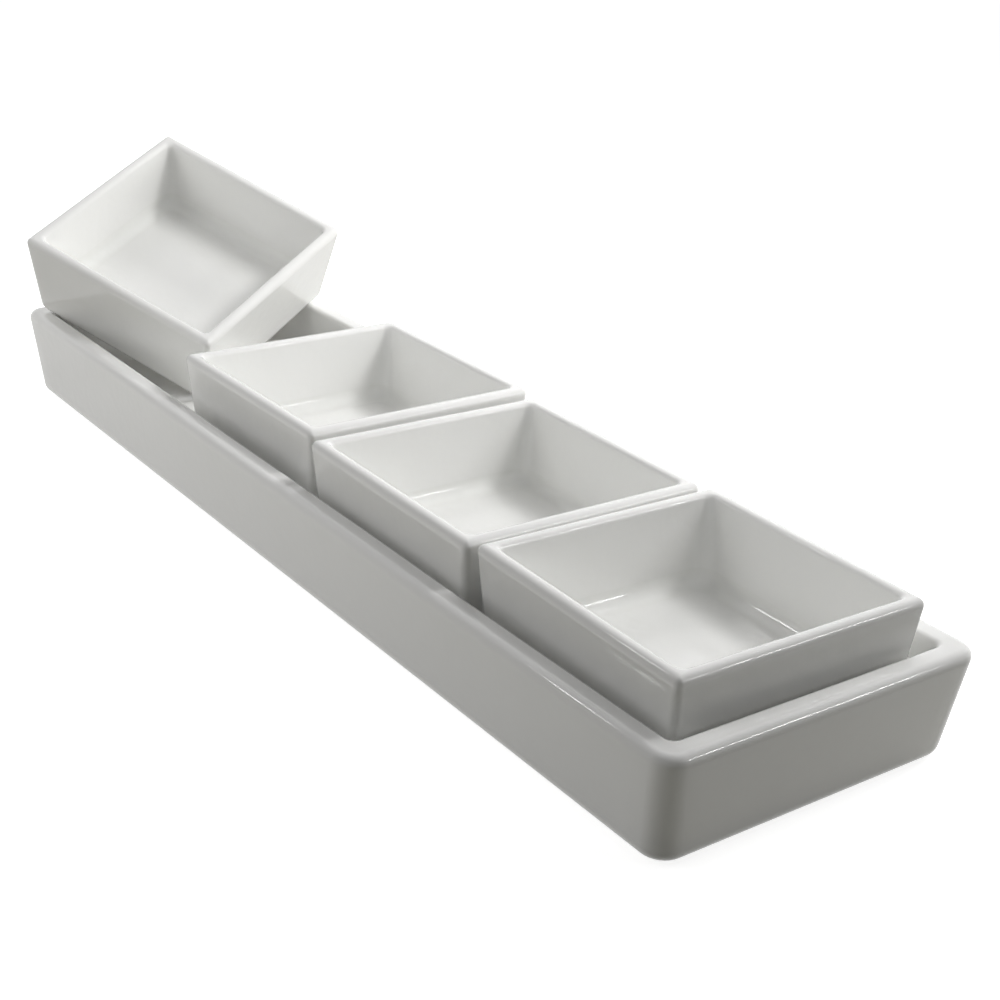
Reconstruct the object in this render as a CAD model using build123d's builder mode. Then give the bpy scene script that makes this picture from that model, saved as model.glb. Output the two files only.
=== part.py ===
from build123d import *
import math
import os

# Serving set for garnishes: a long tray holding a row of four square dishes, in glazed ceramic.
# X runs along the tray, Y across it and Z up, with the origin at the middle of the tray's foot.
# Lengths are in millimetres and angles in degrees.

# Square dish
dish_width = 88.8
dish_height = 37.7
dish_wall = 4.6
dish_base = 6.3
dish_draft = 4.7
dish_inner_draft = 6.5
dish_corner = 2.0
dish_foot_corner = 4.3
dish_inner_corner = 2.2
dish_floor_corner = 9.0
dish_rim_round = 1.7
dish_lip_round = 1.1
dish_foot_round = 4.0
dish_floor_round = 7.5

# Ring that the dish stands on, left by the hollow under its base
ring_width = 3.6
ring_depth = 2.4
ring_round = 1.0

# Tray
tray_wall = 8.5
tray_height = 34.2
tray_draft = 6.6
tray_corner = 7.1
tray_foot_corner = 7.9
tray_inner_corner = 2.2
tray_floor_corner = 6.0
tray_rim_round = 2.3
tray_lip_round = 1.5
tray_foot_round = 4.2
tray_floor_round = 5.0
tray_base = 7.9

# Hollows under the tray, with a rib across the middle that keeps the long base flat
foot_depth = 2.4
foot_width = 5.0
foot_round = 1.2
rib_width = 12.0

# Room in the tray's well round the row of dishes, at the level of the rims
side_room = 4.6
spare_length = 31.4

# How the three standing dishes lie in the row, counted from the far end
dish_names = ("dish_2", "dish_3", "dish_4")
end_gap = 2.8
near_gap = 1.8
middle_gap = 6.2
aside_shares = (0.43, -0.35, -0.05)
row_turns = (0.67, -0.22, -0.85)

# How the tipped dish leans in the far end of the tray
seat_gap = 0.4
toe_reach = 62.0
toe_aside = 13.0
lean_turn = 29.9

os.makedirs("parts", exist_ok=True)


# How far a wall moves inward over a height, and how much of a flat face a rounding takes up
def lean_in(height, draft):
    return height * math.tan(math.radians(draft))


def taken_up(radius, draft):
    return radius * math.tan(math.radians((90 - draft) / 2))


dish_foot = dish_width - 2 * lean_in(dish_height, dish_draft)
dish_mouth = dish_width - 2 * dish_wall
dish_depth = dish_height - ring_depth - dish_base
dish_floor = dish_mouth - 2 * lean_in(dish_depth, dish_inner_draft)
foot_flat = dish_foot / 2 - taken_up(dish_foot_round, dish_draft)

tray_floor = foot_depth + tray_base
well_depth = tray_height - tray_floor
well_width = dish_width + 2 * side_room
well_length = (1 + len(dish_names)) * dish_width + spare_length
tray_width = well_width + 2 * tray_wall
tray_length = well_length + 2 * tray_wall
foot_inset = 2 * lean_in(tray_height, tray_draft)
floor_inset = 2 * lean_in(well_depth, tray_draft)
foot_recess = 2 * (foot_width + tray_foot_round)
recess_length = tray_length - foot_inset - foot_recess
recess_width = tray_width - foot_inset - foot_recess

# Tray: two leaning shells, one inside the other
with BuildPart() as tray:
    with BuildSketch():
        RectangleRounded(tray_length - foot_inset, tray_width - foot_inset, tray_foot_corner)
    with BuildSketch(Plane.XY.offset(tray_height)):
        RectangleRounded(tray_length, tray_width, tray_corner)
    loft(ruled=True)
    fillet(tray.edges().group_by(Axis.Z)[-1], tray_rim_round)
    fillet(tray.edges().group_by(Axis.Z)[0], tray_foot_round)
    with BuildSketch(Plane.XY.offset(tray_floor)):
        RectangleRounded(well_length - floor_inset, well_width - floor_inset, tray_floor_corner)
    with BuildSketch(Plane.XY.offset(tray_height)):
        RectangleRounded(well_length, well_width, tray_inner_corner)
    loft(ruled=True, mode=Mode.SUBTRACT)
    rim = tray.faces().filter_by(Axis.Z).sort_by(Axis.Z)[-1]
    fillet(rim.inner_wires().edges(), tray_lip_round)
    floor = tray.faces().filter_by(Axis.Z).sort_by(Axis.Z)[-2]
    fillet(floor.edges(), tray_floor_round)
    with BuildSketch():
        Rectangle(recess_length, recess_width)
        Rectangle(rib_width, recess_width, mode=Mode.SUBTRACT)
        fillet(vertices(), tray_foot_corner)
    extrude(amount=foot_depth, mode=Mode.SUBTRACT)
    hollows = tray.faces().filter_by(Axis.Z).group_by(Axis.Z)[1]
    fillet(hollows.edges(), foot_round)
tray.part.label = "tray"
export_step(tray.part, "parts/tray.step")


# The tipped dish bears at three points. Its low corner, the toe, stands on the tray's floor, and
# the two edges of its foot that meet there climb out over the lips of the tray's long sides.
# All are rounded, so each edge passes its lip at one known reach from centre to centre. Seen
# along the tray, it is the line from the toe that just clears a circle of that radius.
def tipped_seat():
    reach = tray_lip_round + seat_gap + dish_foot_round
    toe_z = tray_floor + seat_gap + dish_foot_round
    toe = Vector(toe_reach - well_length / 2, -toe_aside, toe_z)
    lip_y = well_width / 2 + tray_lip_round
    lip_rise = tray_height - tray_lip_round - toe_z

    def slope_over(lip_away):
        lip_angle = math.atan2(lip_rise, lip_away)
        return math.tan(lip_angle + math.asin(reach / math.hypot(lip_away, lip_rise)))

    near_slope = slope_over(lip_y + toe.Y)
    far_slope = slope_over(lip_y - toe.Y)
    heading = math.tan(math.radians(lean_turn))
    dish_x = Vector(1, heading, -heading * near_slope).normalized()
    dish_y = Vector(heading * (near_slope * far_slope - 1), 1, far_slope).normalized()
    up = dish_x.cross(dish_y)
    corner = toe - up * dish_foot_round
    return Plane(corner - dish_x * foot_flat + dish_y * foot_flat, dish_x, up)


# The standing dishes: from the near end back, each a gap and a dish's width beyond the last
near_x = well_length / 2 - end_gap - dish_width / 2
middle_x = near_x - near_gap - dish_width
far_x = middle_x - middle_gap - dish_width
side_play = (well_width - floor_inset) / 2 - taken_up(tray_floor_round, tray_draft) - foot_flat
seats = {"dish_1": tipped_seat()}
for name, x, aside_share, turn in zip(dish_names, (far_x, middle_x, near_x), aside_shares, row_turns):
    seats[name] = Plane((x, aside_share * side_play, tray_floor)).rotated((0, 0, turn))

# Dishes: a leaning square shell with a deep rounded well and a ring to stand on
for name, seat in seats.items():
    upward = Axis(seat.origin, seat.z_dir)
    with BuildPart() as dish:
        with BuildSketch(seat):
            RectangleRounded(dish_foot, dish_foot, dish_foot_corner)
        with BuildSketch(seat.offset(dish_height)):
            RectangleRounded(dish_width, dish_width, dish_corner)
        loft(ruled=True)
        fillet(dish.edges().group_by(upward)[-1], dish_rim_round)
        fillet(dish.edges().group_by(upward)[0], dish_foot_round)
        with BuildSketch(seat.offset(dish_height - dish_depth)):
            RectangleRounded(dish_floor, dish_floor, dish_floor_corner)
        with BuildSketch(seat.offset(dish_height)):
            RectangleRounded(dish_mouth, dish_mouth, dish_inner_corner)
        loft(ruled=True, mode=Mode.SUBTRACT)
        rim = dish.faces().filter_by(seat).sort_by(upward)[-1]
        fillet(rim.inner_wires().edges(), dish_lip_round)
        floor = dish.faces().filter_by(seat).sort_by(upward)[-2]
        fillet(floor.edges(), dish_floor_round)
        with BuildSketch(seat):
            RectangleRounded(
                2 * (foot_flat - ring_width), 2 * (foot_flat - ring_width), dish_foot_corner
            )
        extrude(amount=ring_depth, mode=Mode.SUBTRACT)
        hollow = dish.faces().filter_by(seat).sort_by(upward)[1]
        fillet(hollow.edges(), ring_round)
    dish.part.label = name
    export_step(dish.part, "parts/" + name + ".step")
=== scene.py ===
import bpy
import bmesh
import math
from mathutils import Matrix, Vector, noise


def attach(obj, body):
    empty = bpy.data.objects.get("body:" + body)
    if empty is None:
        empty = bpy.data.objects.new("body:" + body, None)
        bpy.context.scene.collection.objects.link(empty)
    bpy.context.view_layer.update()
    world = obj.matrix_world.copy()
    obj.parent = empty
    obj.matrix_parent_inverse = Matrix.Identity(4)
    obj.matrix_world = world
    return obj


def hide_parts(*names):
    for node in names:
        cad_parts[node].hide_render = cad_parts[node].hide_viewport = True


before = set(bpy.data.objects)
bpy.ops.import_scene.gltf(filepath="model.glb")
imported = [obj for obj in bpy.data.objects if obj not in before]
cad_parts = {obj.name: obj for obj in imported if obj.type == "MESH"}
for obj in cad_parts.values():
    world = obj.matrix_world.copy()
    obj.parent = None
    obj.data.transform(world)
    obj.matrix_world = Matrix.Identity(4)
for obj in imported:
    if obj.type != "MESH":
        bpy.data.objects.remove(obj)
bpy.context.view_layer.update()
print("frame loaded:", len(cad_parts), "nodes")

mm = 0.001
wholeScene = bpy.context.scene
noiseSpread = (0.3, 0.7)  # where most of a noise texture's values lie
noise.seed_set(7)  # without a seed, noise_vector starts from the clock

glazeLook = {
    "cloudAndShadeColor": (0.862, 0.864, 0.838),  # painted shade in corners, at the foot and round the floor's edge; also the darker end of the random clouds
    "plainColor": (0.900, 0.899, 0.884),
    "thinColor": (0.900, 0.897, 0.880),  # over rims, where the body shows through
    "cloudScale": 26.0,  # slow changes of tone along a wall
    "cloudSpread": (0.35, 0.7),
    "cloudShare": 0.35,
    "streakScale": 140.0,  # how the roughness wanders
    "roughness": (0.07, 0.14),
    "peelScale": 210.0,  # the gentle dimpling of a dipped glaze
    "peelDepth": 0.00022,
    "peelStrength": 0.35,
    "pitScale": 900.0,
    "pitReach": 0.12,  # share of a cell that a pinhole takes up
    "pitDepth": 0.00012,
    "pitStrength": 0.12,
    "ior": 1.5,
    "coat": 0.5,
    "coatRoughness": 0.03,
}
clayLook = {
    "color": (0.66, 0.61, 0.53),
    "darkColor": (0.50, 0.45, 0.38),
    "roughness": 0.86,
    "grainScale": 2400.0,
    "grainDepth": 0.00025,
    "grainStrength": 0.6,
    "edgeScale": 420.0,  # how finely and how far the glaze line strays
    "edgeStray": 0.2,
    "edgeBand": (0.45, 0.6),  # the mark's values between which glaze gives way to clay
}


def newMaterial(name):
    material = bpy.data.materials.new(name)
    material.use_nodes = True
    material.node_tree.nodes.clear()
    return material, material.node_tree.nodes, material.node_tree.links


def addCloud(nodes, links, source, scale, detail, offset=(0, 0, 0)):
    place = nodes.new("ShaderNodeMapping")
    place.inputs["Location"].default_value = offset
    links.new(source, place.inputs["Vector"])
    cloud = nodes.new("ShaderNodeTexNoise")
    cloud.inputs["Scale"].default_value = scale
    cloud.inputs["Detail"].default_value = detail
    links.new(place.outputs["Vector"], cloud.inputs["Vector"])
    return cloud.outputs["Fac"]


def addRange(nodes, links, source, low, high, lowValue, highValue):
    remap = nodes.new("ShaderNodeMapRange")
    remap.inputs["From Min"].default_value = low
    remap.inputs["From Max"].default_value = high
    remap.inputs["To Min"].default_value = lowValue
    remap.inputs["To Max"].default_value = highValue
    links.new(source, remap.inputs["Value"])
    return remap.outputs["Result"]


def addBump(nodes, links, height, depth, strength, under=None):
    bump = nodes.new("ShaderNodeBump")
    bump.inputs["Distance"].default_value = depth
    bump.inputs["Strength"].default_value = strength
    links.new(height, bump.inputs["Height"])
    if under:
        links.new(under, bump.inputs["Normal"])
    return bump.outputs["Normal"]


def mixColors(nodes, links, share, first, second):
    mix = nodes.new("ShaderNodeMix")
    mix.data_type = "RGBA"
    links.new(share, mix.inputs["Factor"])
    sockets = {entry.name: entry for entry in mix.inputs if entry.type == "RGBA"}
    for name, value in (("A", first), ("B", second)):
        if isinstance(value, tuple):
            sockets[name].default_value = (*value, 1)
        else:
            links.new(value, sockets[name])
    return [entry for entry in mix.outputs if entry.type == "RGBA"][0]


def readMark(nodes, name):
    mark = nodes.new("ShaderNodeAttribute")
    mark.attribute_name = name
    return mark.outputs["Fac"]


def makeGlaze(name, offset):
    look = glazeLook
    material, nodes, links = newMaterial(name)
    place = nodes.new("ShaderNodeTexCoord").outputs["Object"]

    clouds = addCloud(nodes, links, place, look["cloudScale"], 3, offset)
    tone = addRange(nodes, links, clouds, *look["cloudSpread"], 0, look["cloudShare"])
    body = mixColors(nodes, links, tone, look["plainColor"], look["cloudAndShadeColor"])
    # Painted shade: darker, yellower glaze where the mark is set, in corners, at the foot, under
    # the piece and round the floor's edge
    shaded = mixColors(nodes, links, readMark(nodes, "glazePool"), body, look["cloudAndShadeColor"])
    glazed = mixColors(nodes, links, readMark(nodes, "thinGlaze"), shaded, look["thinColor"])

    peel = addCloud(nodes, links, place, look["peelScale"], 1, offset)
    pits = nodes.new("ShaderNodeTexVoronoi")
    pits.inputs["Scale"].default_value = look["pitScale"]
    links.new(place, pits.inputs["Vector"])
    pitShape = addRange(nodes, links, pits.outputs["Distance"], 0, look["pitReach"], 0, 1)
    peelBump = addBump(nodes, links, peel, look["peelDepth"], look["peelStrength"])
    pitBump = addBump(nodes, links, pitShape, look["pitDepth"], look["pitStrength"], peelBump)

    glaze = nodes.new("ShaderNodeBsdfPrincipled")
    glaze.inputs["IOR"].default_value = look["ior"]
    glaze.inputs["Coat Weight"].default_value = look["coat"]
    glaze.inputs["Coat Roughness"].default_value = look["coatRoughness"]
    links.new(glazed, glaze.inputs["Base Color"])
    streaks = addCloud(nodes, links, place, look["streakScale"], 2, offset)
    roughness = addRange(nodes, links, streaks, *noiseSpread, *look["roughness"])
    links.new(roughness, glaze.inputs["Roughness"])
    links.new(pitBump, glaze.inputs["Normal"])

    grain = addCloud(nodes, links, place, clayLook["grainScale"], 4)
    clay = nodes.new("ShaderNodeBsdfPrincipled")
    clay.inputs["Roughness"].default_value = clayLook["roughness"]
    clayTone = mixColors(nodes, links, grain, clayLook["color"], clayLook["darkColor"])
    links.new(clayTone, clay.inputs["Base Color"])
    grainBump = addBump(nodes, links, grain, clayLook["grainDepth"], clayLook["grainStrength"])
    links.new(grainBump, clay.inputs["Normal"])

    ragged = addCloud(nodes, links, place, clayLook["edgeScale"], 2, offset)
    glazeLine = nodes.new("ShaderNodeMath")
    glazeLine.operation = "ADD"
    links.new(readMark(nodes, "bareClay"), glazeLine.inputs[0])
    stray = clayLook["edgeStray"]
    links.new(addRange(nodes, links, ragged, *noiseSpread, -stray, stray), glazeLine.inputs[1])
    surface = nodes.new("ShaderNodeMixShader")
    bare = addRange(nodes, links, glazeLine.outputs[0], *clayLook["edgeBand"], 0, 1)
    links.new(bare, surface.inputs[0])
    links.new(glaze.outputs[0], surface.inputs[1])
    links.new(clay.outputs[0], surface.inputs[2])
    output = nodes.new("ShaderNodeOutputMaterial")
    links.new(surface.outputs[0], output.inputs["Surface"])
    return material


trayGlaze = makeGlaze("trayGlaze", (0.31, 0.12, 0.07))
dishGlaze = makeGlaze("dishGlaze", (0.05, 0.43, 0.21))
print("glazes mixed")


# A piece is a stack of rounded loops, bridged into a closed hollow shell. Marks on its vertices
# tell where the glaze thins, where shade is painted into it, and where it gives way to clay.
marks = ("thinGlaze", "glazePool", "bareClay")
markLook = {
    # Strength of the painted shade at the foot, on the walls, in the bowl's rounding and round the
    # floor's edge
    "shadeAtFoot": 0.5,
    "shadeOnWalls": 0.1,
    "shadeInBowl": 0.75,
    "shadeOnFloor": 0.35,
    "thinOnRim": 0.8,
    "bareRing": (1, 0.5),  # on the standing face's edge, and one loop above it
    "bareHollow": (1, 0.4),
}
meshSteps = {"arc": 6, "corner": 8, "hollowArc": 4, "hollowCorner": 6, "wall": 5}
flatSteps = (0.015, 0.08, 0.13, 0.18, 0.2, 0.2)  # shares of the shorter half


def liesAlong(edge, axis, length):
    reach = edge.verts[1].co - edge.verts[0].co
    return abs(reach[1 - axis]) < 1e-7 and abs(abs(reach[axis]) - length) < 1e-6


def roundedLoop(bm, station, cuts, cornerSteps):
    older = set(bm.edges)
    turned = Matrix.Rotation(math.radians(45), 4, "Z")
    corners = bmesh.ops.create_circle(bm, segments=4, radius=math.sqrt(2), matrix=turned)["verts"]
    bmesh.ops.scale(bm, vec=(station["halfX"], station["halfY"], 1), verts=corners)
    bmesh.ops.translate(bm, vec=(station.get("middleX", 0), 0, station["height"]), verts=corners)
    bmesh.ops.bevel(
        bm, geom=corners, offset=station["corner"], segments=cornerSteps,
        profile=0.5, affect="VERTICES", material=-1,
    )
    for axis, half in enumerate((station["halfX"], station["halfY"])):
        straight = 2 * (half - station["corner"])
        sides = [edge for edge in bm.edges if edge not in older and liesAlong(edge, axis, straight)]
        bmesh.ops.subdivide_edges(bm, edges=sides, cuts=cuts[axis])
    edges = [edge for edge in bm.edges if edge not in older]
    for vert in {vert for edge in edges for vert in edge.verts}:
        for mark in marks:
            vert[bm.verts.layers.float[mark]] = station.get(mark, 0)
    return edges


def bridgeStack(bm, stations, cuts, cornerSteps):
    loops = [roundedLoop(bm, station, cuts, cornerSteps) for station in stations]
    for lower, upper in zip(loops, loops[1:]):
        bmesh.ops.bridge_loops(bm, edges=lower + upper)
    return loops


def arcPoints(inset, height, radius, start, end, steps):
    angles = [math.radians(start + (end - start) * step / steps) for step in range(steps + 1)]
    return [(inset - radius * math.cos(turn), height + radius * math.sin(turn)) for turn in angles]


def wallPoints(first, last):  # evenly spaced, with one held close to each rounding
    steps = meshSteps["wall"]
    shares = [0.02] + [step / steps for step in range(1, steps)] + [0.98]
    return [tuple(a + (b - a) * share for a, b in zip(first, last)) for share in shares]


# Outer wall from the foot up, over the rim, down the inner wall and out to the floor
def shellStations(sizes):
    steps = meshSteps["arc"]
    height, floor = sizes["height"], sizes["floor"]
    outer, inner = math.radians(sizes["outerDraft"]), math.radians(sizes["innerDraft"])

    def outerInset(z):
        return (height - z) * math.tan(outer)

    def innerInset(z):
        return sizes["wall"] + (height - z) * math.tan(inner)

    def outerCorner(z):
        return sizes["footCorner"] + (sizes["rimCorner"] - sizes["footCorner"]) * z / height

    def innerCorner(z):
        share = (z - floor) / (height - floor)
        return sizes["floorCorner"] + (sizes["mouthCorner"] - sizes["floorCorner"]) * share

    foot, rim = sizes["footRound"], sizes["rimRound"]
    lip, bowl = sizes["lipRound"], sizes["floorRound"]
    footArc = arcPoints(
        outerInset(foot) + foot / math.cos(outer), foot, foot, -90, -sizes["outerDraft"], steps
    )
    rimArc = arcPoints(
        outerInset(height - rim) + rim / math.cos(outer), height - rim, rim,
        -sizes["outerDraft"], 90, steps,
    )
    lipArc = arcPoints(
        innerInset(height - lip) - lip / math.cos(inner), height - lip - sizes["rimFall"], lip,
        90, 180 - sizes["innerDraft"], steps - 1,
    )
    bowlArc = arcPoints(
        innerInset(floor + bowl) + bowl / math.cos(inner), floor + bowl, bowl,
        -sizes["innerDraft"], -90, steps + 4,
    )
    stations = []

    def take(points, wallInset, corner, **values):
        for inset, z in points:
            stations.append({
                "halfX": (sizes["length"] / 2 - inset) * mm,
                "halfY": (sizes["width"] / 2 - inset) * mm,
                "corner": max(corner(z) - (inset - wallInset(z)), sizes["leastCorner"]) * mm,
                "height": z * mm,
                **values,
            })

    # Painted shade on the foot, lightly on the walls, and strongly in the bowl's rounding
    onWalls = {"glazePool": markLook["shadeOnWalls"]}
    onRim = {"thinGlaze": markLook["thinOnRim"]}
    take(footArc, outerInset, outerCorner, glazePool=markLook["shadeAtFoot"])
    take(wallPoints(footArc[-1], rimArc[0]), outerInset, outerCorner, **onWalls)
    take(rimArc, outerInset, outerCorner, **onRim)
    take(lipArc, innerInset, innerCorner, **onRim)
    take(wallPoints(lipArc[-1], bowlArc[0]), innerInset, innerCorner, **onWalls)
    take(bowlArc, innerInset, innerCorner, glazePool=markLook["shadeInBowl"])
    for station, bare in zip(stations, markLook["bareRing"]):
        station["bareClay"] = bare
    return stations


# From the standing face up a short wall to the hollow's ceiling
def hollowStations(hollow):
    depth, rounding, edge = hollow["depth"], hollow["round"], hollow["edgeRound"]
    edgeArc = [(-edge, 0), (-edge * 0.3, edge * 0.3), (0, edge)]
    ceilingArc = arcPoints(rounding, depth - rounding, rounding, 0, 90, meshSteps["hollowArc"])
    stations = []
    # The hollow's ceiling under the piece gets painted shade
    for inset, z in edgeArc + ceilingArc:
        stations.append({
            "middleX": hollow.get("middleX", 0) * mm,
            "halfX": (hollow["halfX"] - inset) * mm,
            "halfY": (hollow["halfY"] - inset) * mm,
            "corner": (hollow["corner"] - inset) * mm,
            "height": z * mm,
            "glazePool": markLook["shadeAtFoot"] if z > edge else 0,
        })
    for station, bare in zip(stations, markLook["bareHollow"]):
        station["bareClay"] = bare
    return stations


# A flat is filled, then extruded in place and shrunk, step by step, so that it can bow a little;
# painted shade on it fades from its edge to its middle
def closeFlat(bm, edges, floorShade=0.0):
    face = bmesh.ops.edgeloop_fill(bm, edges=edges)["faces"][0]
    middle = face.calc_center_median()
    halfX = max(abs(vert.co.x - middle.x) for vert in face.verts)
    halfY = max(abs(vert.co.y - middle.y) for vert in face.verts)
    toMiddle = Matrix.Translation(-middle)
    reach = 0
    for step in flatSteps:
        made = bmesh.ops.extrude_face_region(bm, geom=[face])["geom"]
        bmesh.ops.delete(bm, geom=[face], context="FACES_ONLY")
        face = [part for part in made if isinstance(part, bmesh.types.BMFace)][0]
        before, reach = reach, reach + step * min(halfX, halfY)
        shrink = [(half - reach) / (half - before) for half in (halfX, halfY)]
        bmesh.ops.scale(bm, vec=(*shrink, 1), space=toMiddle, verts=face.verts)
        for vert in face.verts:
            vert[bm.verts.layers.float["glazePool"]] = floorShade * (1 - reach / min(halfX, halfY))
            vert[bm.verts.layers.float["bareClay"]] = 0


warpLook = {"wanderScale": 11, "wanderShare": 0.8, "rippleScale": 42, "rippleShare": 0.2}


# Fired clay is never quite straight: walls bow a little and rims wander, while the foot stays flat
def warpShell(bm, sizes, seed):
    look = warpLook
    for vert in bm.verts:
        share = min(max(vert.co.z / (sizes["height"] * mm), 0), 1)
        wanderPlace = vert.co * look["wanderScale"] + Vector((seed, seed * 1.7, 0))
        ripplePlace = vert.co * look["rippleScale"] + Vector((seed * 2.3, 0, seed))
        wander = noise.noise_vector(wanderPlace) * look["wanderShare"]
        ripple = noise.noise_vector(ripplePlace) * look["rippleShare"]
        vert.co += (wander + ripple) * sizes["warp"] * share


def finishPiece(bm, name, material, body):
    bmesh.ops.recalc_face_normals(bm, faces=bm.faces)
    for face in bm.faces:
        face.smooth = True
    mesh = bpy.data.meshes.new(name)
    bm.to_mesh(mesh)
    bm.free()
    mesh.materials.append(material)
    piece = bpy.data.objects.new(name, mesh)
    wholeScene.collection.objects.link(piece)
    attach(piece, body)
    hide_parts(body)


def newShell():
    bm = bmesh.new()
    for mark in marks:
        bm.verts.layers.float.new(mark)
    return bm


traySizes = {
    "length": 403.6,
    "width": 114.8,
    "height": 34.2,
    "floor": 10.3,
    "wall": 8.5,
    "outerDraft": 6.6,
    "innerDraft": 6.6,
    "rimCorner": 7.1,
    "footCorner": 7.9,
    "mouthCorner": 2.2,
    "floorCorner": 6.0,
    "leastCorner": 0.4,
    "rimFall": 0.08,  # the rim's flat dips a little towards the well
    "rimRound": 3.0,
    "lipRound": 1.9,
    "footRound": 4.2,
    "floorRound": 5.0,
    "hollow": {
        "depth": 2.4,
        "round": 1.2,
        "edgeRound": 0.5,
        "halfX": 91.3,
        "halfY": 44.3,
        "corner": 7.9,
    },
    "hollowMiddle": 97.3,
    "cuts": (63, 17),
    "hollowCuts": (31, 15),
    "warp": 0.0003,
    "seed": 4.1,
}


def makeTray(sizes):
    bm = newShell()
    loops = bridgeStack(bm, shellStations(sizes), sizes["cuts"], meshSteps["corner"])
    closeFlat(bm, loops[-1], markLook["shadeOnFloor"])
    standing = list(loops[0])
    for side in (-1, 1):
        hollow = dict(sizes["hollow"], middleX=side * sizes["hollowMiddle"])
        corner = meshSteps["hollowCorner"]
        cavity = bridgeStack(bm, hollowStations(hollow), sizes["hollowCuts"], corner)
        closeFlat(bm, cavity[-1])
        standing += cavity[0]
    bmesh.ops.triangle_fill(bm, edges=standing, use_beauty=True)
    warpShell(bm, sizes, sizes["seed"])
    finishPiece(bm, "servingTray", trayGlaze, "tray")


makeTray(traySizes)
print("tray made")

dishSizes = {
    "length": 88.8,
    "width": 88.8,
    "height": 37.7,
    "floor": 10.2,
    "wall": 4.6,
    "outerDraft": 4.7,
    "innerDraft": 6.5,
    "rimCorner": 2.0,
    "footCorner": 4.3,
    "mouthCorner": 2.2,
    "floorCorner": 7.5,
    "leastCorner": 0.4,
    "rimFall": 0.06,
    "rimRound": 2.4,
    "lipRound": 1.6,
    "footRound": 4.0,
    "floorRound": 5.5,
    "hollow": {
        "depth": 2.4,
        "round": 1.0,
        "edgeRound": 0.4,
        "halfX": 34.0,
        "halfY": 34.0,
        "corner": 4.3,
    },
    "cuts": (19, 19),
    "hollowCuts": (15, 15),
    "warp": 0.0003,
    "seed": 1.3,
    "seedStep": 2.9,  # from dish to dish
}
upright = (0, 0, 1)
dishSeats = {  # where each foot's middle stands, in millimetres, then the dish's own X and Z
    "dish_1": (
        (-177.9095, 2.4587, 35.5443),
        (0.822332, 0.472862, -0.316498),
        (0.431537, -0.155738, 0.88855),
    ),
    "dish_2": ((-39.5, 1.7905, 10.3), (0.999932, 0.011693, 0), upright),
    "dish_3": ((55.5, -1.4574, 10.3), (0.999993, -0.00384, 0), upright),
    "dish_4": ((146.1, -0.2082, 10.3), (0.99989, -0.014835, 0), upright),
}


def seatMatrix(place, along, upward):
    along, upward = Vector(along).normalized(), Vector(upward).normalized()
    across = upward.cross(along)
    turn = Matrix((along, across, upward)).transposed().to_4x4()
    return Matrix.Translation(Vector(place) * mm) @ turn


def makeDish(name, sizes, seat, seed):
    bm = newShell()
    loops = bridgeStack(bm, shellStations(sizes), sizes["cuts"], meshSteps["corner"])
    closeFlat(bm, loops[-1], markLook["shadeOnFloor"])
    hollow, corner = hollowStations(sizes["hollow"]), meshSteps["hollowCorner"]
    cavity = bridgeStack(bm, hollow, sizes["hollowCuts"], corner)
    closeFlat(bm, cavity[-1])
    bmesh.ops.triangle_fill(bm, edges=loops[0] + cavity[0], use_beauty=True)
    warpShell(bm, sizes, seed)
    bmesh.ops.transform(bm, matrix=seatMatrix(*seat), verts=bm.verts)
    finishPiece(bm, name.replace("_", "") + "Bowl", dishGlaze, name)


for number, (name, seat) in enumerate(dishSeats.items()):
    makeDish(name, dishSizes, seat, dishSizes["seed"] + dishSizes["seedStep"] * number)
print("dishes made")

floorLook = {
    "reach": 3.0,
    "bounceColor": (0.31, 0.301, 0.243),  # what lights the object from below
    "shadowColor": (0.85, 0.85, 0.85),  # what the lamps light and the object's shadow dims
    "mirrorColor": (0.28, 0.28, 0.28),  # the same, as the glaze mirrors it
    "whiteGlow": (0.80, 1.0),  # round the object, and away from it
    "glowReach": (0.28, 0.55),
}


# 1 for what is seen straight or in a reflection, 0 for light that bounces
def cameraShare(nodes, links):
    path = nodes.new("ShaderNodeLightPath")
    either = path.outputs["Is Camera Ray"]
    for name in ("Is Glossy Ray", "Is Transmission Ray"):
        larger = nodes.new("ShaderNodeMath")
        larger.operation = "MAXIMUM"
        links.new(either, larger.inputs[0])
        links.new(path.outputs[name], larger.inputs[1])
        either = larger.outputs[0]
    return either


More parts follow.
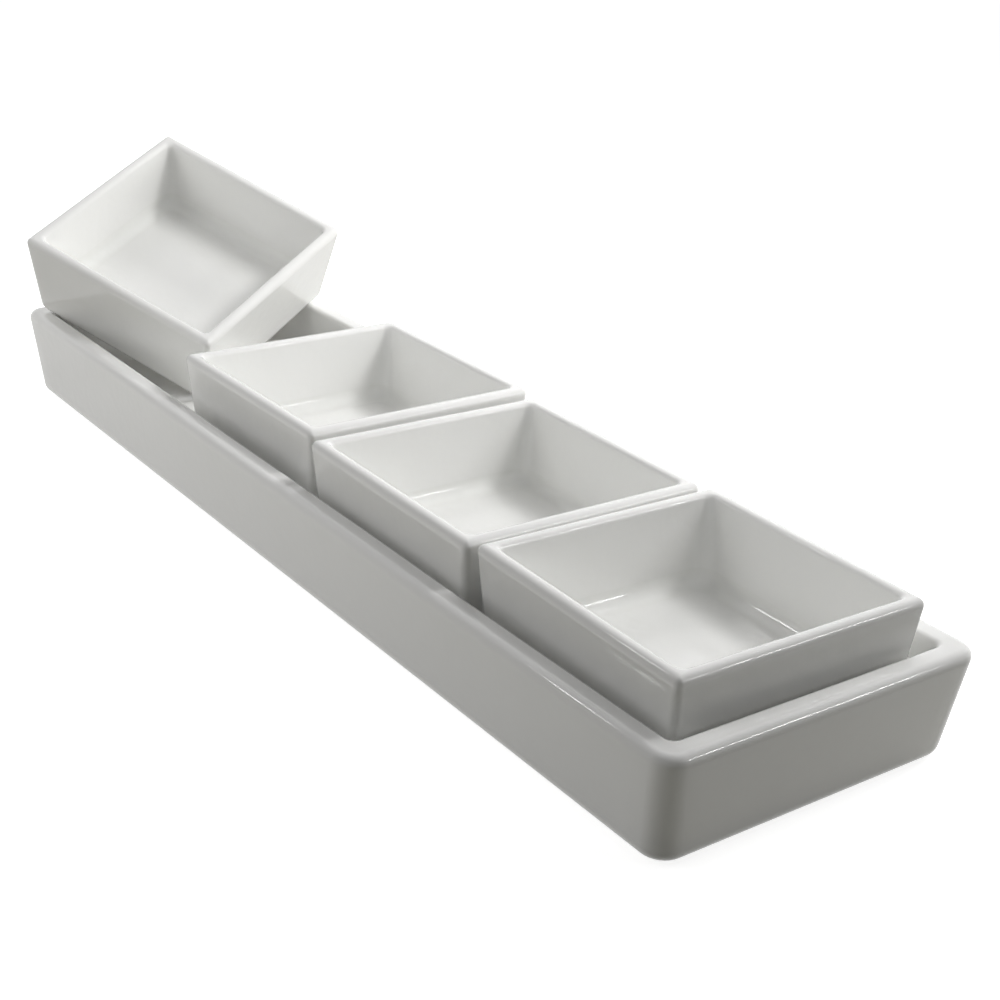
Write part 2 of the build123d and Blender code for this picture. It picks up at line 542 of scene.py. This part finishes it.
def makeFloor(look):
    bm = bmesh.new()
    bmesh.ops.create_grid(bm, x_segments=4, y_segments=4, size=look["reach"])
    mesh = bpy.data.meshes.new("studioFloor")
    bm.to_mesh(mesh)
    bm.free()
    material, nodes, links = newMaterial("paleSweep")
    bounce = nodes.new("ShaderNodeBsdfDiffuse")
    bounce.inputs["Color"].default_value = (*look["bounceColor"], 1)
    seen = nodes.new("ShaderNodeBsdfDiffuse")
    straight = nodes.new("ShaderNodeLightPath").outputs["Is Camera Ray"]
    seenColor = mixColors(nodes, links, straight, look["mirrorColor"], look["shadowColor"])
    links.new(seenColor, seen.inputs["Color"])
    glow = nodes.new("ShaderNodeEmission")
    away = nodes.new("ShaderNodeVectorMath")
    away.operation = "LENGTH"
    links.new(nodes.new("ShaderNodeTexCoord").outputs["Object"], away.inputs[0])
    whiter = addRange(nodes, links, away.outputs["Value"], *look["glowReach"], *look["whiteGlow"])
    links.new(whiter, glow.inputs["Strength"])
    pale = nodes.new("ShaderNodeAddShader")
    links.new(seen.outputs[0], pale.inputs[0])
    links.new(glow.outputs[0], pale.inputs[1])
    surface = nodes.new("ShaderNodeMixShader")
    links.new(cameraShare(nodes, links), surface.inputs[0])
    links.new(bounce.outputs[0], surface.inputs[1])
    links.new(pale.outputs[0], surface.inputs[2])
    output = nodes.new("ShaderNodeOutputMaterial")
    links.new(surface.outputs[0], output.inputs["Surface"])
    mesh.materials.append(material)
    floor = bpy.data.objects.new("studioFloor", mesh)
    wholeScene.collection.objects.link(floor)


makeFloor(floorLook)

roomLook = {"ambient": (0.95, 0.95, 0.95), "ambientStrength": 0.004}


def makeRoom(look):
    world = bpy.data.worlds.new("studioRoom")
    wholeScene.world = world
    world.use_nodes = True
    nodes, links = world.node_tree.nodes, world.node_tree.links
    nodes.clear()
    ambient = nodes.new("ShaderNodeBackground")
    ambient.inputs["Color"].default_value = (*look["ambient"], 1)
    ambient.inputs["Strength"].default_value = look["ambientStrength"]
    white = nodes.new("ShaderNodeBackground")
    white.inputs["Color"].default_value = (1, 1, 1, 1)
    surface = nodes.new("ShaderNodeMixShader")
    links.new(cameraShare(nodes, links), surface.inputs[0])
    links.new(ambient.outputs[0], surface.inputs[1])
    links.new(white.outputs[0], surface.inputs[2])
    output = nodes.new("ShaderNodeOutputWorld")
    links.new(surface.outputs[0], output.inputs["Surface"])


makeRoom(roomLook)

rowAim, tippedAim = (-0.17, 0, 0.05), (-0.3, 0, 0.05)
nearAim, cornerAim = (0.11, 0, 0.02), (0.14, 0.036, 0.021)
lampLooks = {  # places, aims and sizes in metres, power in watts
    "endPanel": {
        "place": (-0.757, 0.0, 0.175),
        "aim": rowAim,
        "size": (0.3, 0.3),
        "power": 1.5,
    },
    "backPanel": {
        "place": (-0.264, 1.079, 0.241),
        "aim": rowAim,
        "size": (0.15, 0.15),
        "power": 1.1,
    },
    "backLamp": {
        "place": (0.115, 0.784, 0.387),
        "aim": rowAim,
        "size": (0.15, 0.15),
        "power": 0.8,
    },
    "lowBackLamp": {
        "place": (0.099, 0.74, 0.189),
        "aim": rowAim,
        "size": (0.15, 0.15),
        "power": 0.65,
    },
    "farLamp": {
        "place": (0.155, 0.325, 0.436),
        "aim": rowAim,
        "size": (0.12, 0.12),
        "power": 1.18,
    },
    "tippedLamp": {
        "place": (0.055, 0.205, 0.337),
        "aim": tippedAim,
        "size": (0.2, 0.2),
        "power": 0.45,
    },
    "slantLamp": {
        "place": (0.233, 0.071, 0.337),
        "aim": rowAim,
        "size": (0.2, 0.2),
        "power": 0.17,
    },
    "lowFrontPanel": {
        "place": (-0.17, -0.587, 0.175),
        "aim": rowAim,
        "size": (0.3, 0.3),
        "power": 0.82,
    },
    "frontPanel": {
        "place": (-0.17, -0.46, 0.436),
        "aim": rowAim,
        "size": (0.3, 0.3),
        "power": 0.51,
    },
    "nearLamp": {
        "place": (-0.224, 0.334, 0.389),
        "aim": nearAim,
        "size": (0.08, 0.08),
        "power": 0.62,
    },
    "rightStrip": {
        "place": (0.896, 0.626, 0.467),
        "aim": nearAim,
        "size": (0.36, 0.035),
        "power": 1.05,
        "gleams": True,
    },
    "leftStrip": {
        "place": (-0.54, -0.555, 0.652),
        "aim": cornerAim,
        "size": (0.07, 0.07),
        "power": 0.2,
        "gleams": True,
    },
}


def makeLamp(name, look):
    lamp = bpy.data.lights.new(name, "AREA")
    lamp.shape = "RECTANGLE"
    lamp.size, lamp.size_y = look["size"]
    lamp.energy = look["power"]
    holder = bpy.data.objects.new(name, lamp)
    holder.location = look["place"]
    holder.rotation_mode = "QUATERNION"
    beam = Vector(look["aim"]) - Vector(look["place"])
    holder.rotation_quaternion = beam.to_track_quat("-Z", "Y")
    holder.visible_glossy = look.get("gleams", False)  # soft panels don't show in the glaze
    wholeScene.collection.objects.link(holder)


for name, look in lampLooks.items():
    makeLamp(name, look)
print("floor, room and lamps set")

cameraLook = {  # fitted to the photograph's outlines
    "azimuth": 52.117,
    "elevation": 22.91,
    "roll": 3.599,
    "distance": 0.46181,
    "target": (0.114166, -0.034652, 0.067603),
    "focalShare": 1.695665,  # of the picture's width
    "middleShare": (0.532528, 0.488859),  # of the picture, from its top left
}


def makeCamera(look):
    azimuth, elevation = math.radians(look["azimuth"]), math.radians(look["elevation"])
    roll = math.radians(look["roll"])
    back = Vector((
        math.sin(azimuth) * math.cos(elevation),
        -math.cos(azimuth) * math.cos(elevation),
        math.sin(elevation),
    ))
    right = Vector((math.cos(azimuth), math.sin(azimuth), 0))
    upward = back.cross(right)
    rolledRight = right * math.cos(roll) + upward * math.sin(roll)
    rolledUp = upward * math.cos(roll) - right * math.sin(roll)
    lens = bpy.data.cameras.new("studioCamera")
    lens.sensor_width = 36
    lens.lens = look["focalShare"] * lens.sensor_width
    lens.shift_x = 0.5 - look["middleShare"][0]
    lens.shift_y = look["middleShare"][1] - 0.5
    lens.clip_start = 0.02
    camera = bpy.data.objects.new("studioCamera", lens)
    turn = Matrix((rolledRight, rolledUp, back)).transposed().to_4x4()
    place = Vector(look["target"]) + back * look["distance"]
    camera.matrix_world = Matrix.Translation(place) @ turn
    wholeScene.collection.objects.link(camera)
    wholeScene.camera = camera


makeCamera(cameraLook)
wholeScene.view_settings.view_transform = "Standard"
print("camera set")
